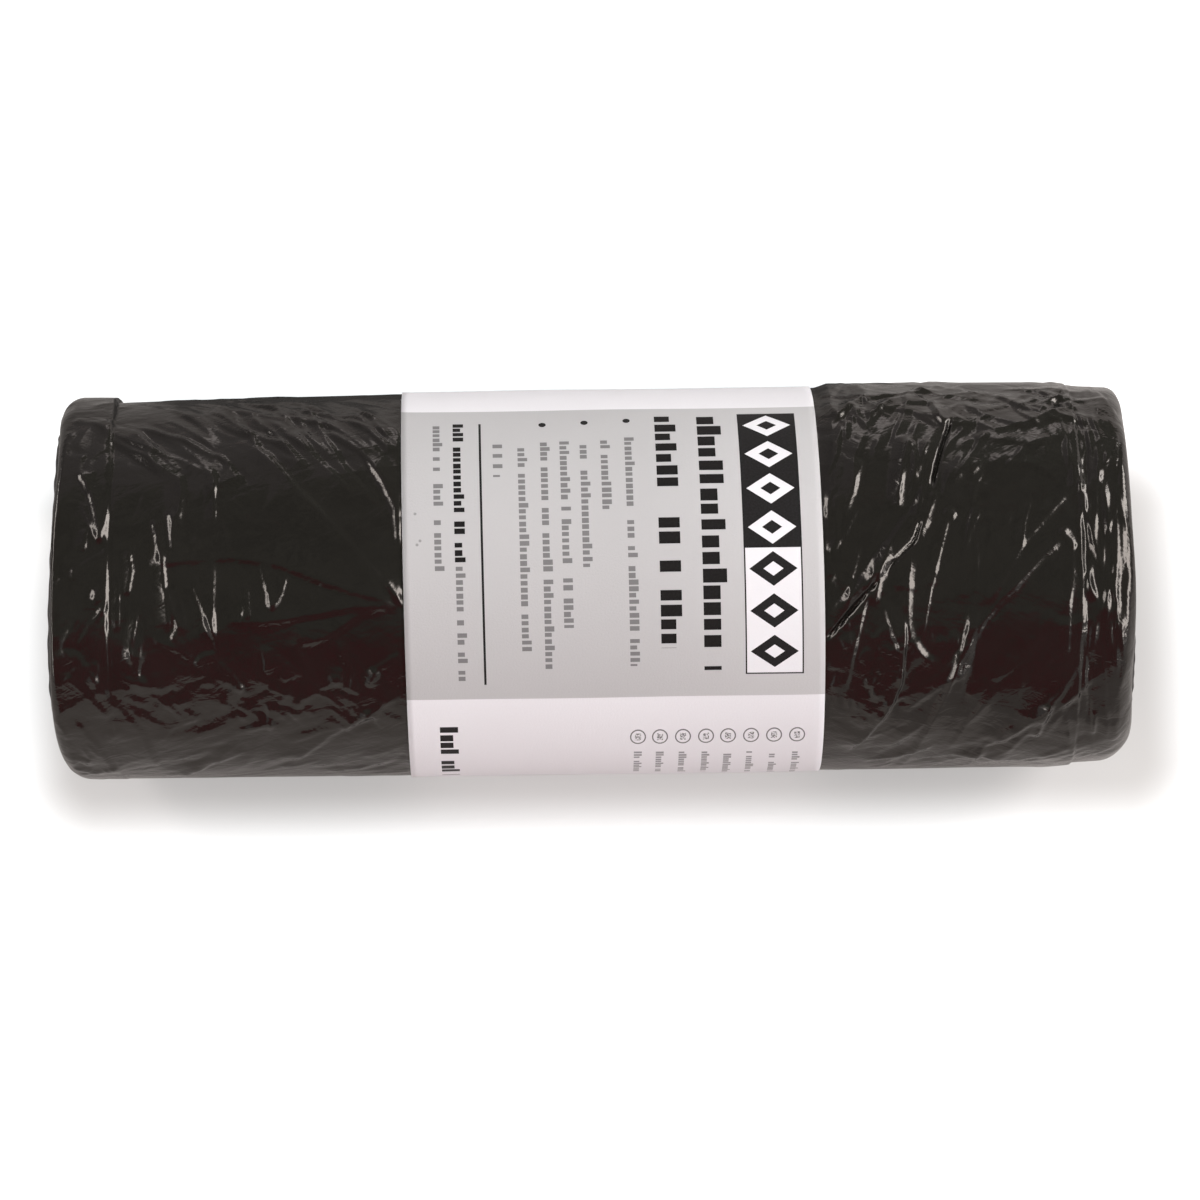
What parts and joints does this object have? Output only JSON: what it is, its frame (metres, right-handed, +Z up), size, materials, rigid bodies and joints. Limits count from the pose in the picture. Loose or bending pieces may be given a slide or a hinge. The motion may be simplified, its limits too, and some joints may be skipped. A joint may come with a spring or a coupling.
{
  "type": "bin bag roll",
  "caption": "Roll of dark thin-film bin bags, wound without a core and held by a paper band, lying on its side.",
  "frame": {"origin": "on the surface that the roll lies on, under the middle of the roll", "axes": "+X along the roll's axis towards the end with the rounder shoulder, +Z up, -Y the side seen in the picture"},
  "size_m": [0.16, 0.059, 0.0578],
  "materials": {
    "film": "creased glossy black polythene film",
    "paper": "uncoated white paper with a grey printed panel"
  },
  "bodies": {
    "root": {"bag_roll": "film", "paper_band": "paper"}
  },
  "joints": []
}
